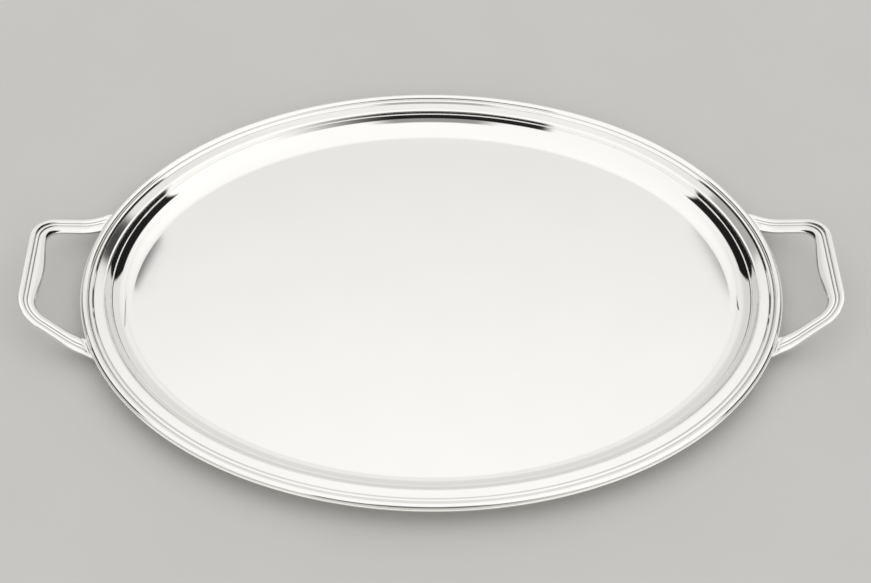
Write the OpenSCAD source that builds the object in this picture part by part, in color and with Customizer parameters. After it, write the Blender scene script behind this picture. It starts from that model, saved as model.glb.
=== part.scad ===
// Oval serving tray: a pressed sheet pan, a reeded border brazed on its brim and
// two cast bracket handles brazed under it. Millimetres, +Z up. The origin lies
// on the resting plane, under the middle of the floor.

/* [Tray] */
// Length over the brim, without the handles
tray_len = 600; // [520:4:720]
// Width over the brim
tray_w = 450; // [390:4:510]
// Depth of the well, from the brim's upper face to the floor's
well_depth = 17; // [13:0.2:24]
// Thickness of the pressed sheet
sheet_t = 1.5; // [0.8:0.1:1.8]
// Width of the flat brim, from its edge to the shoulder
brim_w = 18.5; // [16.5:0.5:27]
// Radius of the shoulder between the brim and the well
shoulder_r = 2.5; // [2:0.5:6]

/* [Border] */
// Width of the sheet's edge that shows outside the border
lip_w = 1.2; // [0.8:0.1:2.5]
// Radius of the border's outer bead
bead_r = 3; // [2:0.1:3.5]
// Radius of the thin reed beside the bead
reed_r = 1.5; // [1:0.1:2]
// Gap between the bead and the reed
groove_w = 0.5; // [0.3:0.1:1]
// Slope of the border's inner side, from the reed down to the brim, in degrees
border_tilt = 48; // [40:1:56]
// Depth of the crease where that side meets the reed
crease_d = 0.05; // [0.03:0.01:0.1]
// Thickness of the border's flat strip, under the groove
strip_t = 0.9; // [0.6:0.1:1.2]
// Height of the bead's centre above the brim
bead_lift = 0.6; // [0.2:0.1:1]
// Height of the reed's centre above the brim
reed_lift = 0.3; // [0:0.1:0.6]

/* [Handles] */
// How far a handle stands out beyond the tray's end
handle_reach = 44.5; // [38:0.5:56]
// Span over a handle's two feet, at the edge of the brim
foot_span = 156; // [142:2:172]
// Span over the grip's outer corners, before they are rounded
grip_span = 101; // [92:1:116]
// Outer radius of the grip's corners
corner_r = 29.5; // [22:0.5:33]
// Slope of the arms above the horizontal, in degrees
arm_tilt = 28.5; // [20:0.5:36]
// Width of the arms
arm_w = 13.5; // [12:0.5:15]
// Width of the grip at its middle
grip_w = 16; // [14.5:0.5:19]
// Length over which the grip swells to that width
swell_len = 72; // [50:2:90]
// Width of the feet
foot_w = 14.5; // [13:0.5:17]
// Thickness of the arms and the grip
handle_t = 5; // [4.5:0.25:7]
// Thickness of the feet under the brim
foot_t = 4.5; // [3:0.25:6]
// Width of the handle's outer bead
grip_bead_w = 4.4; // [3.6:0.1:5]
// Width of the thin reed beside the handle's bead
grip_reed_w = 2.5; // [1.9:0.1:3]
// Depth of the handle's two grooves
grip_groove = 1.2; // [0.8:0.1:1.6]
// Length over which an arm bends up from its foot
bend_len = 17; // [10:1:24]
// Height of the side left straight below the grip's inner band
flank_t = 2.4; // [1:0.1:3]
// Length over which the reeds grow out of the plain foot
fade_len = 4; // [3:0.5:8]
// How far the handle's edges are eased
edge_ease = 0.6; // [0.3:0.1:1]

/* [Joints] */
// Gap that the braze fills between a foot, its fillet and the brim
braze_gap = 0.1; // [0.05:0.05:0.3]
// Radius of the braze fillets
fillet_r = 0.8; // [0.5:0.1:1.5]
// Length of each braze fillet along the brim's edge
fillet_len = 12; // [8:0.5:14]
// Distance kept between a foot's toe and the shoulder
toe_clear = 2; // [1:0.5:5]

/* [Hidden] */
round_fn = 240;

// The oval is drawn from eight centres. Its arcs meet along 4:3 and 7:24 slopes.
half_len = tray_len / 2;
half_w = tray_w / 2;
end_dir = [0.8, 0.6];
side_dir = [0.28, 0.96];
end_r = round(10.3 * half_w * half_w / half_len) / 10;
corner_step = 3.5 * half_w - 0.5 * half_len - 3 * end_r;
side_step = 5 * (half_len - 2 * half_w + end_r);
oval_corner_r = end_r + corner_step;
side_r = oval_corner_r + side_step;
end_c = [half_len - end_r, 0];
oval_corner_c = end_c - corner_step * end_dir;
side_c = [0, half_w - side_r];
wedge = 2 * tray_len;

// The well's wall falls along a 24:7 slope where the shoulder meets the cove.
wall_dir = [-0.96, 0.28];
cove_r = round(100 * (well_depth / (1 - wall_dir.y) - shoulder_r)) / 100;
brim_z = sheet_t + (1 - wall_dir.y) * (shoulder_r + cove_r);
shoulder_c = [-brim_w, brim_z - shoulder_r];
cove_c = shoulder_c + (shoulder_r + cove_r) * wall_dir;
floor_lap = 2 * sheet_t;
bead_x = lip_w + bead_r;
reed_x = bead_x + bead_r + groove_w + reed_r;
border_in = [-sin(border_tilt), cos(border_tilt)];
border_x = reed_x + (reed_r - crease_d + reed_lift * border_in.y) / -border_in.x;

// Plan of one handle: the rear arm's outer edge leaves the brim at foot_p and runs
// straight to the rounded corner of the grip.
foot_p = [end_c.x + sqrt(end_r * end_r - foot_span * foot_span / 4), foot_span / 2];
grip_p = [half_len + handle_reach, grip_span / 2];
arm_len = norm(grip_p - foot_p);
arm_dir = (grip_p - foot_p) / arm_len;
arm_in = [arm_dir.y, -arm_dir.x];
corner_turn = acos(-arm_dir.y);
corner_cut = corner_r * tan(corner_turn / 2);
arm_end = arm_len - corner_cut;
corner_c = grip_p + [-corner_r, -corner_cut];
grip_half = grip_p.y - corner_cut;
reeds_w = grip_bead_w + grip_reed_w;
foot_in = arm_w / 2 + foot_w / 2;
seat_z = brim_z - sheet_t - braze_gap;
web_r = min(fillet_r, sheet_t);

// Distance along the arm from the point q inside its outer edge to the circle of
// radius r about the end's centre
function arm_to(q, r) =
    let (v = foot_p + q * arm_in - end_c, k = v * arm_dir) -k + sqrt(k * k - v * v + r * r);

toe_at = arm_to(foot_in, end_r - brim_w + toe_clear);
edge_at = arm_to(foot_in, end_r);
rise_x = (foot_p + foot_in * arm_in + edge_at * arm_dir).x + braze_gap + web_r;
crest_step = braze_gap + sheet_t;

// Height of the handle's crest over the plan and its slope there. Just outside the braze the
// reeds grow out of the plain foot, up to the level of the brim's upper face.
function rise(x) =
    let (t = max(0, x - rise_x))
    tan(arm_tilt) * (t < bend_len ? t * t / (2 * bend_len) : t - bend_len / 2);
function slope(x) = atan(tan(arm_tilt) * min(1, max(0, (x - rise_x) / bend_len)));
function grown(p) =
    let (t = (norm(p - end_c) - end_r - braze_gap - web_r) / fade_len, u = min(1, max(0, t)))
    u * u * (3 - 2 * u);

// One round reed of the section, as half an ellipse between two grooves
function arch(q0, q1, low, high, n) = [for (k = [1:n])
    let (a = 180 * k / n)
    [(q0 + q1 - (q1 - q0) * cos(a)) / 2, low + (high - low) * sin(a), 0]];

// Section of the handle as [distance inside the outer edge, depth below the crest, depth of
// the plain foot]: up the outer side, over bead, reed and inner band, and back below
function section(w) =
    let (band_w = w - reeds_w)
    concat(
        [[0.5 * edge_ease, -0.8 * handle_t, edge_ease - foot_t]],
        [[0, -0.5 * handle_t, -0.5 * foot_t]],
        [[0, -grip_groove - edge_ease, -edge_ease]],
        arch(0, grip_bead_w, -grip_groove, 0, 6),
        arch(grip_bead_w, reeds_w, -grip_groove, -0.35 * grip_groove, 4),
        [for (k = [1:2]) [reeds_w + 0.14 * k * band_w, -grip_groove * (1 - 0.45 * k), 0]],
        [for (k = [1:5])
            let (q = 0.28 + 0.72 * sin(18 * k), low = flank_t - handle_t, high = -0.1 * grip_groove)
            [reeds_w + q * band_w, low + (high - low) * cos(18 * k), k < 5 ? 0 : -edge_ease]],
        [[w - edge_ease, -handle_t, -foot_t]],
        [[2 * edge_ease, -handle_t, -foot_t]]);

// One ring of the loft: the section set up at the plan point p, along the inward
// direction n, widened by the factor k about the arm's middle
function ring(p, n, w, k = 1, thin = 1) = [for (s = section(w))
    let (
        q = arm_w / 2 + (s[0] - arm_w / 2) * k,
        at = p + q * n,
        g = grown(at),
        h = thin * (g * (s[1] + crest_step) + (1 - g) * s[2]),
        tip = slope(at.x))
    [at.x - h * sin(tip), at.y, seat_z + rise(at.x) + h * cos(tip)]];

// Widths: the arm flares into its foot, and the grip swells towards its middle
foot_k = foot_w / arm_w;
function flare(t) =
    let (u = min(1, max(0, (t - edge_at) / (arm_end - edge_at)))) 1 + (foot_k - 1) * (1 - u) * (1 - u);
function swell(y) =
    let (c = cos(90 * min(1, 2 * abs(y) / swell_len))) arm_w + (grip_w - arm_w) * c * c;

// Rings of the rear half, from the toe along the arm and round the corner to mid-grip
toe_round = 3 * edge_ease;
grown_at = edge_at + 2 * fade_len;
foot_steps = [toe_at + toe_round, toe_round];
growth_steps = [for (k = [1:12]) toe_round + k * (grown_at - toe_round) / 12];
arm_steps = [for (k = [1:5]) grown_at + k * (arm_end - grown_at) / 5];
toe_ring = ring(foot_p + toe_at * arm_dir, arm_in, arm_w, 0.8 * foot_k, 0.7);
arm_rings = [for (t = concat(foot_steps, growth_steps, arm_steps))
    ring(foot_p + t * arm_dir, arm_in, swell(foot_p.y), flare(t))];
corner_rings = [for (k = [1:6])
    let (a = corner_turn * (1 - k / 6), out = [cos(a), sin(a)], p = corner_c + corner_r * out)
    ring(p, -out, swell(p.y))];
grip_rings = [for (k = [1:5])
    let (y = grip_half * (1 - k / 5))
    ring([grip_p.x, y], [-1, 0], swell(y))];
rear_rings = concat([toe_ring], arm_rings, corner_rings, grip_rings);

// The front half is the rear one, flipped over the tray's long middle line
function flip(r) = [for (p = r) [p.x, -p.y, p.z]];
handle_rings = concat(rear_rings, [for (k = [len(rear_rings) - 2:-1:0]) flip(rear_rings[k])]);

// One arc of the oval: the children's section, drawn inwards from x = 0, is turned about
// the arc's centre and cut off along the two directions where the arc ends
module arc_sweep(c, r, from, to) {
    intersection() {
        translate(c) rotate_extrude($fn = round_fn) translate([r, 0]) children();
        translate([0, 0, -tray_len])
            linear_extrude(2 * tray_len)
                polygon([c, c + wedge * from, c + wedge * to]);
    }
}

// A section carried round the whole oval
module oval_sweep() {
    for (x = [0, 1]) mirror([x, 0, 0])
        arc_sweep(end_c, end_r, [end_dir.x, -end_dir.y], end_dir) children();
    for (y = [0, 1]) mirror([0, y, 0])
        arc_sweep(side_c, side_r, side_dir, [-side_dir.x, side_dir.y]) children();
    for (x = [0, 1], y = [0, 1]) mirror([x, 0, 0]) mirror([0, y, 0])
        arc_sweep(oval_corner_c, oval_corner_r, end_dir, side_dir) children();
}

// The oval's plan, moved inwards, in four quarters: each arc bounds the part of its quarter
// between the two directions where the arc ends
module oval_plan(inset) {
    module slice(c, r, from, to) {
        intersection() {
            translate(c) circle(r - inset, $fn = round_fn);
            polygon([c, c + wedge * from, c + wedge * to]);
            square(wedge);
        }
    }
    for (x = [0, 1], y = [0, 1]) mirror([x, 0]) mirror([0, y]) {
        slice(end_c, end_r, [1, 0], end_dir);
        slice(oval_corner_c, oval_corner_r, end_dir, side_dir);
        slice(side_c, side_r, side_dir, [0, 1]);
    }
}

// A band of sheet bent to the radius r about c, from direction from to direction to
module bend(c, r, from, to) {
    span = 4 * r;
    intersection() {
        translate(c) difference() {
            circle(r + sheet_t, $fn = round_fn);
            circle(r, $fn = round_fn);
        }
        polygon([c, c + span * from, c + span * (from + to), c + span * to]);
    }
}

// Section of the pressed sheet: brim, shoulder, cove and the start of the floor
module pan_section() {
    translate([-brim_w, brim_z - sheet_t]) square([brim_w, sheet_t]);
    bend(shoulder_c, shoulder_r - sheet_t, [0, 1], wall_dir);
    bend(cove_c, cove_r, -wall_dir, [0, -1]);
    translate([cove_c.x - floor_lap, 0]) square([floor_lap, sheet_t]);
}

// Section of the border: bead and reed on one flat strip, with a sloping inner side
module border_section() {
    intersection() {
        union() {
            translate([-bead_x, brim_z + bead_lift]) circle(bead_r, $fn = 96);
            translate([-reed_x, brim_z + reed_lift]) circle(reed_r, $fn = 96);
            translate([0, brim_z])
                polygon([[-bead_x, 0], [-bead_x, strip_t], [-reed_x, strip_t],
                    [-reed_x, reed_lift] + (reed_r - crease_d) * border_in, [-border_x, 0]]);
        }
        translate([-2 * brim_w, brim_z]) square([2 * brim_w, 4 * bead_r]);
    }
}

// A closed solid skinned over a row of rings of equal length
module loft(rings) {
    n = len(rings[0]);
    last = (len(rings) - 1) * n;
    sides = [for (i = [0:len(rings) - 2], j = [0:n - 1])
        let (a = i * n + j, b = i * n + (j + 1) % n)
        each [[a, b, b + n], [a, b + n, a + n]]];
    caps = [for (j = [1:n - 2]) each [[0, j + 1, j], [last, last + j, last + j + 1]]];
    polyhedron([for (r = rings) each r], concat(sides, caps));
}

// Braze between the brim's edge and the flat top of a foot
module fillet() {
    foot_mid = foot_p + (arm_w / 2) * arm_in + arm_to(arm_w / 2, end_r) * arm_dir - end_c;
    sweep = fillet_len / end_r * 180 / PI;
    translate([end_c.x, 0, seat_z + braze_gap])
        rotate_extrude(angle = sweep, start = atan2(foot_mid.y, foot_mid.x) - sweep / 2, $fn = round_fn)
            translate([end_r + braze_gap, 0]) difference() {
                square(web_r);
                translate([web_r, web_r]) circle(web_r, $fn = 48);
            }
}

module pan() {
    color("gainsboro") {
        oval_sweep() pan_section();
        linear_extrude(sheet_t) oval_plan(floor_lap / 2 - cove_c.x);
    }
}

module border() {
    color("silver") oval_sweep() border_section();
}

module left_handle() {
    color("silver") mirror([1, 0, 0]) loft(handle_rings);
}

module right_handle() {
    color("silver") loft(handle_rings);
}

module left_rear_fillet() {
    color("lightgray") mirror([1, 0, 0]) fillet();
}

module left_front_fillet() {
    color("lightgray") mirror([1, 0, 0]) mirror([0, 1, 0]) fillet();
}

module right_rear_fillet() {
    color("lightgray") fillet();
}

module right_front_fillet() {
    color("lightgray") mirror([0, 1, 0]) fillet();
}

pan();
border();
left_handle();
right_handle();
left_rear_fillet();
left_front_fillet();
right_rear_fillet();
right_front_fillet();
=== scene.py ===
import bmesh
import bpy
import numpy as np
from mathutils import Matrix


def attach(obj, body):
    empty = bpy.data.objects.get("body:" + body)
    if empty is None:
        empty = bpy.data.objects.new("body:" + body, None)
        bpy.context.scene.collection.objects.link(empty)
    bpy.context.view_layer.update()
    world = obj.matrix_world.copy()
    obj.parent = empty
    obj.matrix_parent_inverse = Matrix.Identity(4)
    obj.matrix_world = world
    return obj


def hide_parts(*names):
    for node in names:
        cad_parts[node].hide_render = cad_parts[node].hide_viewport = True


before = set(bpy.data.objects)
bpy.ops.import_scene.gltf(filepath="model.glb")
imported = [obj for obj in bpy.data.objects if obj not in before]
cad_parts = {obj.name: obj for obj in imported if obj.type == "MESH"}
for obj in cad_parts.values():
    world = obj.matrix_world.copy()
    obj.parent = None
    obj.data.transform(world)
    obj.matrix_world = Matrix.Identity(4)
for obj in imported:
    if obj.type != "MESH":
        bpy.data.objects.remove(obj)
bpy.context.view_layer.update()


# Camera. It stands in front of the tray and looks down on it from 52 degrees above the table,
# turned by less than two degrees, with a lens of 63 mm over a picture 36 mm wide.
camera_at = np.array([-0.02053, -0.80736, 1.04290])
camera_aim = np.array([0.00279, 0.00315, 0.0])
camera_turn, camera_roll = np.radians(1.648), np.radians(1.218)
film_width, picture_pixels, focal_pixels = 36.0, 871, 1520.07
ahead = (camera_aim - camera_at) / np.linalg.norm(camera_aim - camera_at)
level = np.array([np.cos(camera_turn), -np.sin(camera_turn), 0.0])
upright = np.cross(level, ahead)
right = np.cos(camera_roll) * level + np.sin(camera_roll) * upright
up = np.cos(camera_roll) * upright - np.sin(camera_roll) * level
camera = bpy.data.objects.new("camera", bpy.data.cameras.new("camera"))
bpy.context.scene.collection.objects.link(camera)
pose = np.eye(4)
pose[:3, :4] = np.stack([right, up, -ahead, camera_at], axis=1)
camera.matrix_world = Matrix(pose.tolist())
camera.data.sensor_fit = "HORIZONTAL"
camera.data.sensor_width = film_width
camera.data.lens = film_width * focal_pixels / picture_pixels
bpy.context.scene.camera = camera
bpy.context.scene.view_settings.view_transform = "Standard"


# Light. A white tent of cloth stands over the table, a little greyer low down behind the tray.
# It has openings low down on all sides, where polished metal shows the dark room.
def linear(hex_colour):
    """sRGB hex to linear: each channel over 12.92 if dark, else shifted and to the power 2.4."""
    c = np.array([int(hex_colour[k:k + 2], 16) for k in (1, 3, 5)]) / 255
    c = np.where(c <= 0.04045, c / 12.92, ((c + 0.055) / 1.055) ** 2.4)
    return (*c.tolist(), 1.0)


def add_node(tree, kind, values=None, links=None, **settings):
    """One node in a tree, with its settings, the values of its inputs and the sockets that feed it."""
    node = tree.nodes.new(kind)
    for name, value in settings.items():
        setattr(node, name, value)
    for name, value in (values or {}).items():
        node.inputs[name].default_value = value
    for name, socket in (links or {}).items():
        tree.links.new(socket, node.inputs[name])
    return node


def patch(depth, *edges):
    """A patch of the tent's cloth: a soft step for each edge, the first up to the patch's depth and each
    of the others up to what the one before it gives. An edge names an angle or a height, its value just
    outside the patch, where the step is 0, and its value just inside."""
    values, links = {"To Max": depth}, {}
    for measure, outside, inside in edges:
        cover = add_node(
            tent, "ShaderNodeMapRange", {"From Min": outside, "From Max": inside, **values},
            {"Value": measure, **links}, interpolation_type="SMOOTHSTEP").outputs[0]
        values, links = {}, {"To Max": cover}
    return cover


world = bpy.data.worlds.new("light_tent")
world.use_nodes = True
bpy.context.scene.world = world
tent = world.node_tree
tent.nodes.clear()
direction = add_node(tent, "ShaderNodeTexCoord").outputs["Generated"]
axes = add_node(tent, "ShaderNodeSeparateXYZ", links={"Vector": direction}).outputs
to_right, to_back, height = axes["X"], axes["Y"], axes["Z"]
to_front = add_node(tent, "ShaderNodeMath", {1: -1.0}, {0: to_back}, operation="MULTIPLY").outputs[0]

# Angles in degrees: azimuth from straight in front and bearing from straight behind, both positive
# to the right, and elevation above the table. A height is the sine of the elevation.
angles = []
for operation, links in (("ARCTAN2", {0: to_right, 1: to_front}), ("ARCTAN2", {0: to_right, 1: to_back}),
                         ("ARCSINE", {0: height})):
    radians = add_node(tent, "ShaderNodeMath", links=links, operation=operation).outputs[0]
    angles.append(add_node(tent, "ShaderNodeMath", links={0: radians}, operation="DEGREES").outputs[0])
azimuth, bearing, elevation = angles
aside = add_node(tent, "ShaderNodeMath", links={0: azimuth}, operation="ABSOLUTE").outputs[0]

# The openings: at both sides, in front, a fainter one above that, and one under the hem behind.
openings = [
    patch(1.0, (aside, 73, 76), (aside, 125, 122), (height, 0.56, 0.50)),
    patch(1.0, (azimuth, -27, -23), (azimuth, 40, 8), (height, 0.42, 0.33)),
    patch(0.7, (aside, 16, 8), (height, 0.70, 0.60)),
    patch(1.0, (aside, 112, 122), (aside, 175, 135), (height, 0.11, 0.08))]

# Behind the tray the cloth's two lower corners are cut off, and they darken the brim's ends and the
# edge of the well's floor. Each is a triangle, and an edge is straight in bearing + tilt * elevation.
left_corner = ((1.2, 45.3, 44.5), (-1.70, -97.4, -98.3), (-1.02, -68.4, -68.0))
right_corner = ((-1.34, -49.2, -48.4), (0.752, 52.1, 52.6), (0.432, 41.5, 40.9))
for depth, corner in ((0.95, left_corner), (0.52, right_corner)):
    edges = []
    for tilt, outside, inside in corner:
        lean = add_node(tent, "ShaderNodeMath", {1: tilt}, {0: elevation, 2: bearing},
                        operation="MULTIPLY_ADD")
        edges.append((lean.outputs[0], outside, inside))
    openings.append(patch(depth, *edges))
dark = openings[0]
for opening in openings[1:]:
    dark = add_node(tent, "ShaderNodeMath", links={0: dark, 1: opening}, operation="MAXIMUM").outputs[0]

# The cloth itself is a little brighter to the right, and grey low down behind but for a paler band.
tent_white, tent_slant, darkest = 1.085, 0.06, 0.985
low_behind = (to_back, -0.2, 0.6), (height, 0.92, 0.62)
grey = patch(0.297, *low_behind)
paler = patch(0.134, *low_behind, (height, 0.45, 0.64), (height, 0.730, 0.712))
cloth = add_node(tent, "ShaderNodeMath", {1: tent_slant, 2: tent_white}, {0: to_right},
                 operation="MULTIPLY_ADD").outputs[0]
for operation, tone in (("SUBTRACT", grey), ("ADD", paler)):
    cloth = add_node(tent, "ShaderNodeMath", links={0: cloth, 1: tone}, operation=operation).outputs[0]

# The metal and the floor see the openings. Straight from the camera only the pale cloth shows.
camera_ray = add_node(tent, "ShaderNodeLightPath").outputs["Is Camera Ray"]
shown = add_node(tent, "ShaderNodeMapRange", {"To Min": darkest, "To Max": 0.0}, {"Value": camera_ray})
lost = add_node(tent, "ShaderNodeMath", links={0: dark, 1: shown.outputs[0]}, operation="MULTIPLY")
kept = add_node(tent, "ShaderNodeMath", {0: 1.0}, {1: lost.outputs[0]}, operation="SUBTRACT")
glow = add_node(tent, "ShaderNodeMath", links={0: cloth, 1: kept.outputs[0]}, operation="MULTIPLY")
lit = add_node(tent, "ShaderNodeBackground", {"Color": linear("#FFFFFF")}, {"Strength": glow.outputs[0]})
add_node(tent, "ShaderNodeOutputWorld", links={"Surface": lit.outputs[0]})


# Floor. A plain pale table top, a painted board, which carries the tray and takes its shadow.
# It is drawn far larger than a table, so that no edge of it comes into view.
def new_material(name):
    """An empty material with its output and one shader: returns the material, its tree and the shader."""
    material = bpy.data.materials.new(name)
    material.use_nodes = True
    tree = material.node_tree
    tree.nodes.clear()
    shader = add_node(tree, "ShaderNodeBsdfPrincipled")
    add_node(tree, "ShaderNodeOutputMaterial", links={"Surface": shader.outputs[0]})
    return material, tree, shader


def skin(name, grid, wrap=(False, True)):
    """Mesh over a grid of points in mm: a four-sided face between neighbouring rows and columns.
    wrap joins the last row or column to the first, and rows that shrink to a point become poles."""
    rows, columns = grid.shape[:2]
    i = np.arange(rows - (not wrap[0]))[:, None]
    j = np.arange(columns - (not wrap[1]))[None, :]
    corners = [((i + a) % rows) * columns + (j + b) % columns for a, b in ((0, 0), (0, 1), (1, 1), (1, 0))]
    mesh = bpy.data.meshes.new(name)
    mesh.from_pydata(grid.reshape(-1, 3) * 0.001, [], np.stack(corners, -1).reshape(-1, 4))
    piece = bpy.data.objects.new(name, mesh)
    bpy.context.scene.collection.objects.link(piece)
    return piece


# Matt board paint: an even grey white, with faint clouds 111 mm across where the roller went.
table_reach, table_rows, table_gap, paint_cloud = 12000.0, 9, 0.1, 111.1
floor_paint, tree, shader = new_material("matt_painted_board")
shader.inputs["Roughness"].default_value = 0.6
place = add_node(tree, "ShaderNodeTexCoord").outputs["Object"]
mottle = add_node(tree, "ShaderNodeTexNoise", {"Scale": 1000 / paint_cloud, "Detail": 3.0},
                  {"Vector": place})
tint = add_node(tree, "ShaderNodeMix", {"A": linear("#CBC9C5"), "B": linear("#D0CECA")},
                {"Factor": mottle.outputs["Fac"]}, data_type="RGBA")
tree.links.new(tint.outputs["Result"], shader.inputs["Base Color"])
reach = np.linspace(-table_reach, table_reach, table_rows)
across, away = np.meshgrid(reach, -reach, indexing="xy")
table_top = skin("table_top", np.stack([across, away, np.full_like(across, -table_gap)], -1), (False, False))
table_top.data.materials.append(floor_paint)


# Pan. One silver-plated sheet, 1.5 mm thick, pressed to a flat floor, a cove, a rounded
# shoulder and a flat brim, then buffed to a mirror. Its trimmed edge shows as a thin lip.
half_length, half_width = 300.0, 225.0
brim_z, sheet, brim_width = 18.5, 1.5, 18.5
shoulder_radius, cove_radius, wall_sine = 2.5, 21.11, 0.96
edge_ease, edge_inset = 0.35, 0.1
wall_slope = np.arcsin(wall_sine)
floor_inset = brim_width + wall_sine * (shoulder_radius + cove_radius)
normals_round = np.linspace(0, 2 * np.pi, 600, endpoint=False)


def carry_round(inset, height, scale=1.0):
    """A profile carried round the oval: for each direction n of the edge's normal, the ellipse's
    point (a*a*cos n, b*b*sin n) / sqrt(a*a*cos n^2 + b*b*sin n^2) is moved inwards along n by the
    profile's inset and set at its height. scale draws a row in towards the middle."""
    c, s = np.cos(normals_round), np.sin(normals_round)
    root = np.sqrt((half_length * c) ** 2 + (half_width * s) ** 2)
    inset, height, scale = (np.asarray(v, float)[..., None] for v in (inset, height, scale))
    inset, height, scale = np.broadcast_arrays(inset, height, scale)
    x = scale * (half_length ** 2 * c / root - inset * c)
    y = scale * (half_width ** 2 * s / root - inset * s)
    return np.stack([x, y, np.broadcast_to(height, x.shape)], -1)


def arc(centre, radius, start, end, count):
    """Points of a profile's arc as (inset, height): angles run from upright, positive inwards."""
    t = np.linspace(start, end, count)
    return np.stack([centre[0] + radius * np.sin(t), centre[1] + radius * np.cos(t)], -1)


def flat(insets, height):
    """Points of a profile's level run as (inset, height): the given insets, all at one height."""
    return np.stack([insets, np.full(len(insets), height)], -1)


def finish_mesh(piece, material, slot, *nodes):
    """Merges doubled points, turns every face outwards, smooths and dresses the piece, and seats it
    in the frame."""
    shape = bmesh.new()
    shape.from_mesh(piece.data)
    bmesh.ops.remove_doubles(shape, verts=shape.verts, dist=1e-7)
    bmesh.ops.recalc_face_normals(shape, faces=shape.faces)
    shape.to_mesh(piece.data)
    shape.free()
    piece.data.shade_smooth()
    piece.data.materials.append(material)
    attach(piece, "root")
    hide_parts(*nodes)


def mark_hollows(piece, values):
    """Keeps one number for each point of the grid, for polish residue and painted shade:
    1 in the bottom of a groove and 0 on open metal.
    """
    layer = piece.data.attributes.new("hollow", "FLOAT", "POINT")
    layer.data.foreach_set("value", np.ascontiguousarray(values, np.float32).ravel())


def polished_silver(name, haze, ripple):
    """Silver plate buffed to a mirror. Clouds of polishing haze 60 mm across vary its roughness over the
    range haze, waves 45 mm across and ripple metres high bend its reflections a little, hair lines from
    the mop cross it, and the hollows are painted warm, dark and dull, partly as polish residue and partly
    as painted shade. Real hair lines are a few hundredths of a mm wide. They are drawn coarser, 0.7 mm
    wide and 11 mm long, so that they show."""
    cloud, wave, hair_length, hair_width = 60.0, 45.0, 11.11, 0.7143
    hair_turn, hair_roughness, residue_roughness = 0.5, 0.012, 0.16
    material, tree, shader = new_material(name)
    place = add_node(tree, "ShaderNodeTexCoord").outputs["Object"]
    hollow = add_node(tree, "ShaderNodeAttribute", attribute_name="hollow").outputs["Fac"]
    clouds = add_node(tree, "ShaderNodeTexNoise", {"Scale": 1000 / cloud, "Detail": 4.0},
                      {"Vector": place}).outputs["Fac"]
    hair_scale = 1000 / hair_length, 1000 / hair_width, 1000 / hair_width
    lines = add_node(tree, "ShaderNodeMapping", {"Scale": hair_scale, "Rotation": (0, 0, hair_turn)},
                     {"Vector": place})
    hairs = add_node(tree, "ShaderNodeTexNoise", {"Scale": 1.0, "Detail": 2.0}, {"Vector": lines.outputs[0]})
    gloss = add_node(
        tree, "ShaderNodeMapRange", {"From Min": 0.3, "From Max": 0.7, "To Min": haze[0], "To Max": haze[1]},
        {"Value": clouds})
    scuffed = add_node(tree, "ShaderNodeMath", {1: hair_roughness},
                       {0: hairs.outputs["Fac"], 2: gloss.outputs[0]}, operation="MULTIPLY_ADD")
    dulled = add_node(tree, "ShaderNodeMath", {1: residue_roughness}, {0: hollow, 2: scuffed.outputs[0]},
                      operation="MULTIPLY_ADD")
    silver = add_node(tree, "ShaderNodeMix", {"A": linear("#F7F5F1"), "B": linear("#F2F1EF")},
                      {"Factor": clouds}, data_type="RGBA")
    # The hollows' dark brown is partly polish residue and partly painted shade.
    residue_and_shade = add_node(tree, "ShaderNodeMix", {"B": linear("#544E46")},
                       {"A": silver.outputs["Result"], "Factor": hollow}, data_type="RGBA")
    waves = add_node(tree, "ShaderNodeTexNoise", {"Scale": 1000 / wave, "Detail": 0.0}, {"Vector": place})
    bump = add_node(tree, "ShaderNodeBump", {"Strength": 1.0, "Distance": ripple},
                    {"Height": waves.outputs["Fac"]})
    shader.inputs["Metallic"].default_value = 1.0
    tree.links.new(residue_and_shade.outputs["Result"], shader.inputs["Base Color"])
    tree.links.new(dulled.outputs[0], shader.inputs["Roughness"])
    tree.links.new(bump.outputs[0], shader.inputs["Normal"])
    return material


# The mesh's rows lie closest where the floor meets the cove, at both sides of the border and at the
# lip: as shares of the way out from the floor's middle, and as insets from the brim's edge.
floor_shares = np.array([0, 0.3, 0.6, 0.85, 0.96, 0.99, 0.998])
brim_top = [18.2, 16, 13, 12, 11.5, 11.2, 4, 1.8, 1.4, 1.0, 0.6]
brim_under = [1.5, 10, 18.2]
upper = np.concatenate([
    arc((floor_inset, sheet + cove_radius), -cove_radius, 0, wall_slope, 46),
    arc((brim_width, brim_z - shoulder_radius), shoulder_radius, wall_slope, 0, 26)[1:],
    flat(brim_top, brim_z),
    arc((edge_inset + edge_ease, brim_z - edge_ease), edge_ease, 0, -np.pi / 2, 6)])
lower = np.concatenate([
    arc((edge_inset + edge_ease, brim_z - sheet + edge_ease), edge_ease, -np.pi / 2, -np.pi, 5),
    flat(brim_under, brim_z - sheet),
    arc((brim_width, brim_z - shoulder_radius), shoulder_radius - sheet, 0, wall_slope, 14),
    arc((floor_inset, sheet + cove_radius), -cove_radius - sheet, wall_slope, 0, 22)[1:]])
pan = skin("tray_pan", np.concatenate([
    carry_round(floor_inset, sheet, floor_shares), carry_round(*upper.T), carry_round(*lower.T),
    carry_round(floor_inset, 0.0, floor_shares[::-1])]))

# Polish residue and painted shade lie on the brim along both sides of the border, each at an inset and
# fading over a reach. They are painted four times as strong at the tray's two ends as at its long sides.
border_seams = (11.5, 0.2), (1.2, 0.25)
stronger_at_ends = 0.25 + 0.75 * np.cos(normals_round) ** 2
on_brim = upper[:, 1] > brim_z - 0.01
seam = on_brim * sum(np.exp(-np.abs(upper[:, 0] - inset) / reach) for inset, reach in border_seams)
residue_and_shade_rows = np.concatenate([
    np.zeros(len(floor_shares)), np.clip(seam, 0, 1), np.zeros(len(lower) + len(floor_shares))])
mark_hollows(pan, residue_and_shade_rows[:, None] * stronger_at_ends)
finish_mesh(pan, polished_silver("buffed_silver_plate", (0.02, 0.05), 0.00001), "sheet", "pan")


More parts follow.
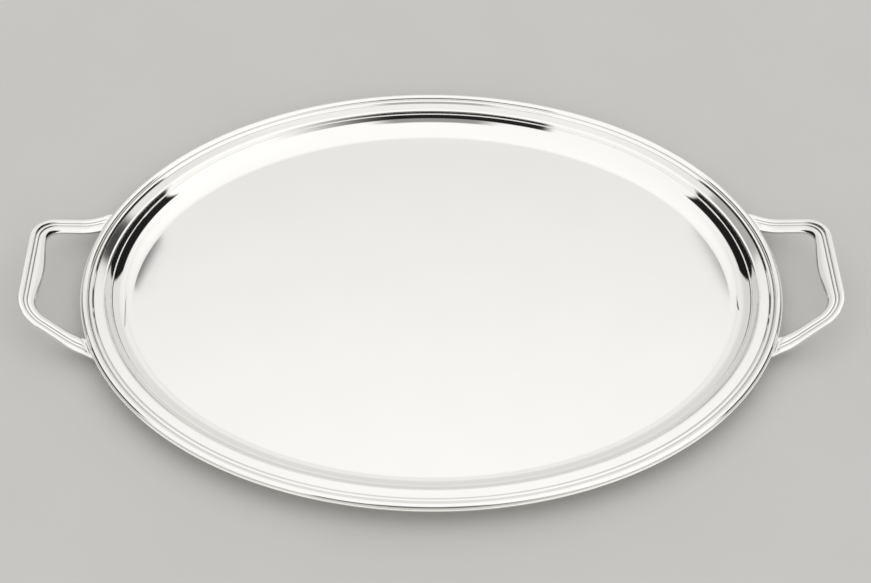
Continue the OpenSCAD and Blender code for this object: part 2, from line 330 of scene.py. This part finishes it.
# Border. A drawn silver moulding, bent to the oval and soldered flat on the brim: a round bead
# outside, then a groove, a thin reed and a side that slopes down to the brim.
bead_inset, bead_lift, bead_radius = 4.2, 0.6, 3.0
reed_inset, reed_lift, reed_radius = 9.2, 0.3, 1.5
strip, slope_tilt, crease_depth, sole_inset, tuck = 0.9, np.radians(48), 0.05, 6.0, 0.05
residue_and_shade_width, residue_and_shade_height = 0.4, 0.2
strip_top = brim_z + strip
bead_foot = np.pi - np.arccos(bead_lift / bead_radius)
bead_end = np.arccos((strip - bead_lift) / bead_radius)
reed_foot = np.arccos((strip - reed_lift) / reed_radius)
slope_reach = reed_radius - crease_depth
reed_end = slope_tilt + np.arccos(slope_reach / reed_radius)
slope_end = reed_inset + (slope_reach + reed_lift * np.cos(slope_tilt)) / np.sin(slope_tilt)
bead = arc((bead_inset, brim_z + bead_lift), bead_radius, -bead_foot, bead_end, 56)
reed = arc((reed_inset, brim_z + reed_lift), reed_radius, -reed_foot, reed_end, 30)
groove = flat(bead[-1, 0] + np.array([0.06, 0.32, 0.58]), strip_top)
slope = reed[-1] + np.linspace(0.05, 0.985, 7)[:, None] * ((slope_end, brim_z) - reed[-1])
sole = flat([slope_end - tuck, sole_inset, bead[0, 0] + tuck], brim_z)
moulding = np.concatenate([bead, groove, reed, slope, sole])
border = skin("tray_border", carry_round(*moulding.T), (True, True))
# Polish residue and painted shade in the bottom of the groove between bead and reed, stronger at the tray's
# two ends.
in_groove = np.exp(-((moulding[:, 0] - groove[1, 0]) / residue_and_shade_width) ** 2)
at_strip = np.exp(-((moulding[:, 1] - strip_top) / residue_and_shade_height) ** 2)
mark_hollows(border, (in_groove * at_strip)[:, None] * stronger_at_ends)
finish_mesh(border, polished_silver("drawn_silver_moulding", (0.025, 0.06), 0.000004), "moulding", "border")


# Handles. Two cast brackets, brazed under the brim by plain feet. Just outside the brim the bead,
# reed and broad inner band grow out of the foot, climb, turn the corner and swell along the grip.
end_radius, end_centre = 173.8, np.array([126.2, 0.0])
foot_y, grip_point, corner_radius = 78.0, np.array([344.5, 50.5]), 29.5
arm_width, grip_width, foot_width, swell_length = 13.5, 16.0, 14.5, 72.0
handle_depth, foot_depth, groove_depth, flank, ease, under_ease = 5.0, 4.5, 1.2, 2.4, 0.6, 1.7
bead_width, reed_width, reed_rise = 4.4, 2.5, 0.65
band_rise, band_crest = 0.9, 0.28
climb, bend_length, fade_length, crest_step = np.tan(np.radians(28.5)), 17.0, 4.0, 1.55
toe_tuck, toe_length, toe_narrow, toe_thin = 2.0, 1.8, 0.8, 0.7
braze_width, braze_film = 0.9, 0.1
valley_width, valley_share, handle_groove_strength = 0.3, 0.06, 0.5
reeds_width = bead_width + reed_width
seat_z = brim_z - sheet - braze_film
foot_point = np.array([end_centre[0] + np.sqrt(end_radius ** 2 - foot_y ** 2), foot_y])
arm_length = np.linalg.norm(grip_point - foot_point)
along = (grip_point - foot_point) / arm_length
inward = np.array([along[1], -along[0]])
turn = np.arccos(-along[1])
cut = corner_radius * np.tan(turn / 2)
arm_end = arm_length - cut
corner_centre = grip_point - (corner_radius, cut)
grip_half = grip_point[1] - cut
foot_inside = foot_point + (arm_width + foot_width) / 2 * inward


def arm_to(radius):
    """Distance along the arm's inner edge to the circle of that radius about the tray end's centre."""
    v = foot_inside - end_centre
    k = v @ along
    return -k + np.sqrt(k * k - v @ v + radius * radius)


toe_at, edge_at = arm_to(end_radius - brim_width + toe_tuck), arm_to(end_radius)
rise_x = (foot_inside + edge_at * along)[0] + braze_width


def handle_section():
    """The casting's section as rows of (distance in from the outer edge, share of the band's width,
    height over the crest, height of the plain foot): half an ellipse for the bead and the reed, two
    quarters for the band, eased edges below. Also gives how many points belong to the top."""
    half, quarter = np.linspace(0, np.pi, 25)[1:], np.linspace(0, np.pi / 2, 15)[1:]
    roll, under = np.linspace(0, np.pi / 2, 27)[1:], np.linspace(0, np.pi / 2, 8)[1:]
    side = np.linspace(-0.45 * handle_depth, -groove_depth, 6)
    low, high = flank - handle_depth, (band_rise - 1) * groove_depth
    runs = [
        (bead_width * (1 - np.cos(half)) / 2, 0, groove_depth * (np.sin(half) - 1)),
        (bead_width + reed_width * (1 - np.cos(half)) / 2, 0, groove_depth * (reed_rise * np.sin(half) - 1)),
        (reeds_width, band_crest * (1 - np.cos(quarter)), groove_depth * (band_rise * np.sin(quarter) - 1)),
        (reeds_width, band_crest + (1 - band_crest) * np.sin(roll), low + (high - low) * np.cos(roll)),
        (reeds_width - ease * (1 - np.cos(under)), 1, low - flank * np.sin(under)),
        (under_ease * (1 - np.sin(under)), 0, -handle_depth * (1 + np.cos(under)) / 2),
        (0, 0, side)]
    set_in, share, drop = (np.concatenate(row) for row in zip(*(np.broadcast_arrays(*run) for run in runs)))
    top = 2 * len(half) + len(quarter) + len(roll)
    outer = len(set_in) - len(under) - len(side)
    lie = set_in + share * (arm_width - reeds_width)
    rim = np.clip(1 - np.minimum(lie, arm_width - lie) / ease, 0, 1)
    foot = ease * (np.sqrt(1 - rim ** 2) - 1)
    foot[top:outer] = np.interp(drop[top:outer], [-handle_depth, low], [-foot_depth, -ease])
    foot[outer:] = np.interp(drop[outer:], [-handle_depth, -groove_depth], [-foot_depth, -ease])
    return set_in, share, drop, foot, top


def cast_handle():
    """The section set up along the handle's outer edge: toe, foot, arm, corner and half the grip, then
    the same flipped. The crest rises with x, each point's depth is square to that slope, and the reeds
    grow as s*s*(3 - 2*s), where s is the way from the brim's edge over the fading length."""
    set_in, share, drop, foot, top = handle_section()
    toe = np.linspace(0, np.pi / 2, 8)
    grown_at = edge_at + 2 * fade_length
    way = np.r_[toe_at + toe_length * (1 - np.cos(toe)), np.linspace(toe_at + toe_length, 0, 9)[1:-1],
                np.linspace(0, grown_at, 56), np.linspace(grown_at, arm_end, 26)[1:]]
    bend_angles = turn * (1 - np.linspace(0, 1, 27)[1:])
    outs = np.stack([np.cos(bend_angles), np.sin(bend_angles)], -1)
    grip_y = grip_half * (1 - np.linspace(0, 1, 31)[1:])
    grip = np.stack([np.full_like(grip_y, grip_point[0]), grip_y], -1)
    points = np.concatenate([foot_point + way[:, None] * along, corner_centre + corner_radius * outs, grip])
    facing = np.concatenate([np.tile(inward, (len(way), 1)), -outs, np.tile([-1.0, 0.0], (len(grip), 1))])
    swell = np.cos(np.pi / 2 * np.clip(2 * np.abs(points[:, 1]) / swell_length, 0, 1)) ** 2
    swell[:len(way)] = 0
    width = arm_width + (grip_width - arm_width) * swell
    toward_corner = np.clip((way - edge_at) / (arm_end - edge_at), 0, 1)
    flare, thin = np.ones(len(points)), np.ones(len(points))
    flare[:len(way)] = 1 + (foot_width / arm_width - 1) * (1 - toward_corner) ** 2
    flare[:len(toe)] *= toe_narrow + (1 - toe_narrow) * np.sin(toe)
    thin[:len(toe)] = toe_thin + (1 - toe_thin) * np.sin(toe)
    across = set_in + share * (width[:, None] - reeds_width)
    across = arm_width / 2 + (across - arm_width / 2) * flare[:, None]
    x = points[:, :1] + across * facing[:, :1]
    y = points[:, 1:] + across * facing[:, 1:]
    out = np.clip(x - rise_x, 0, None)
    crest = climb * np.where(out < bend_length, out ** 2 / (2 * bend_length), out - bend_length / 2)
    slope = np.arctan(climb * np.clip(out / bend_length, 0, 1))
    beyond = np.hypot(x - end_centre[0], y) - end_radius - braze_width
    grown = np.clip(beyond / fade_length, 0, 1)
    grown = grown ** 2 * (3 - 2 * grown)
    depth = thin[:, None] * (grown * (drop + crest_step) + (1 - grown) * foot)
    rows = np.stack([x - depth * np.sin(slope), y, seat_z + crest + depth * np.cos(slope)], -1)
    rows = np.concatenate([rows[:1].mean(1, keepdims=True).repeat(len(set_in), 1), rows])
    grown = np.concatenate([grown[:1], grown])
    # Where polish residue and painted shade go: the grooves at both sides of the reed, once the reeds have
    # grown.
    valley = np.exp(-((set_in - bead_width) / valley_width) ** 2)
    valley += np.exp(-((set_in - reeds_width) / valley_width) ** 2) * (share < valley_share)
    valley = np.where(np.arange(len(set_in)) < top, np.clip(valley, 0, 1), 0) * grown
    flipped = rows[-2::-1] * (1, -1, 1)
    return np.concatenate([rows, flipped]), np.concatenate([valley, valley[-2::-1]])


# The handles' grooves get half as much polish residue and painted shade as the tray's.
casting = polished_silver("cast_silver_bracket", (0.03, 0.07), 0.000004)
handle_rows, valleys = cast_handle()
for side, name in ((1, "right_handle"), (-1, "left_handle")):
    handle = skin("tray_" + name, handle_rows * (side, 1, 1))
    mark_hollows(handle, handle_groove_strength * valleys)
    finish_mesh(handle, casting, "casting", name)


# Fillets. Where a foot goes under the lip, a thin web of hard solder fills the corner. It ran
# in and set with a skin of 2 mm patches, a little duller and warmer than the polished metal.
solder_patch = 2.0
solder, tree, shader = new_material("hard_silver_solder")
shader.inputs["Metallic"].default_value = 1.0
place = add_node(tree, "ShaderNodeTexCoord").outputs["Object"]
flow = add_node(tree, "ShaderNodeTexNoise", {"Scale": 1000 / solder_patch, "Detail": 3.0},
                {"Vector": place}).outputs["Fac"]
dull = add_node(tree, "ShaderNodeMapRange", {"To Min": 0.1, "To Max": 0.28}, {"Value": flow})
warm = add_node(tree, "ShaderNodeMix", {"A": linear("#E9E4DB"), "B": linear("#D6CFC2")}, {"Factor": flow},
                data_type="RGBA")
tree.links.new(warm.outputs["Result"], shader.inputs["Base Color"])
tree.links.new(dull.outputs[0], shader.inputs["Roughness"])
for name in ("left_rear", "left_front", "right_rear", "right_front"):
    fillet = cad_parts[name + "_fillet"]
    fillet.data.materials.clear()
    fillet.data.materials.append(solder)
